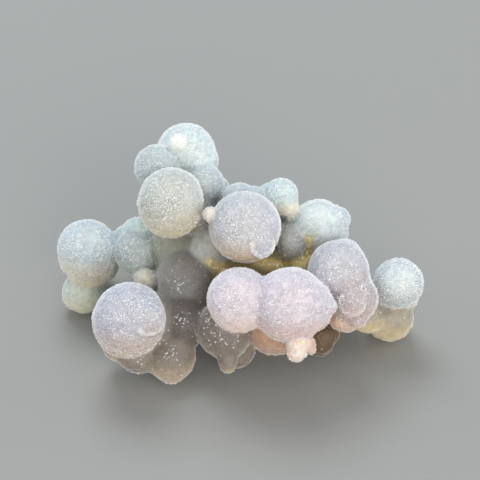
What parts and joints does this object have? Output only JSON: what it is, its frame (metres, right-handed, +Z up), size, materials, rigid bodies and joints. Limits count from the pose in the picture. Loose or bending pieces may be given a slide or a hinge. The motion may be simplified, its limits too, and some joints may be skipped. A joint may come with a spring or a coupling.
{
  "type": "botryoidal chalcedony cluster",
  "caption": "Cluster of frosted, round chalcedony balls that grew into each other as one stone, lying on the flat scar where it broke off its host rock.",
  "frame": {"origin": "bottom centre of the bounding box, on the level of the broken scar that the stone lies on", "axes": "+X runs to the right across the show face, +Y away from the viewer of that face, +Z up"},
  "size_m": [0.0368, 0.0254, 0.0196],
  "materials": {
    "chalcedony": "frosted, druse-coated, translucent"
  },
  "bodies": {
    "root": {"chalcedony_cluster": "chalcedony"}
  },
  "joints": []
}
